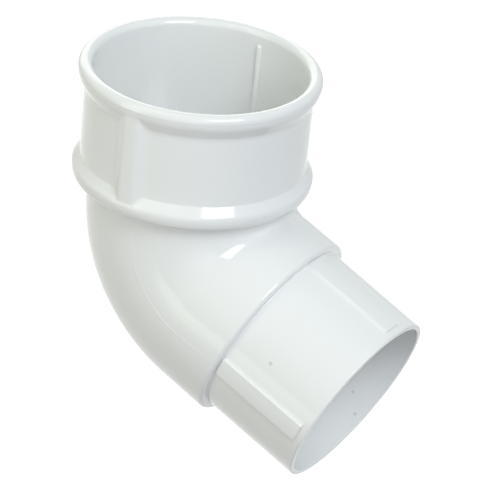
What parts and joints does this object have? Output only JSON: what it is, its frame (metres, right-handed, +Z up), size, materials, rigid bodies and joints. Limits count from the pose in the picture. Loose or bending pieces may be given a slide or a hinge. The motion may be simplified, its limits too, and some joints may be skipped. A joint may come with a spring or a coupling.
{
  "type": "downpipe offset bend",
  "caption": "White plastic rainwater bend with a rimmed socket, a tight elbow and a ribbed spigot, moulded in one piece.",
  "frame": {"origin": "centre of the socket's mouth, level with the top of its rim", "axes": "+Z up out of the socket along its axis; the bend lies in the XZ plane and the spigot leaves towards +X and down"},
  "size_m": [0.1239, 0.0806, 0.1287],
  "materials": {
    "white_plastic": "glossy moulded uPVC"
  },
  "bodies": {
    "root": {"offset_bend": "white_plastic"}
  },
  "joints": []
}
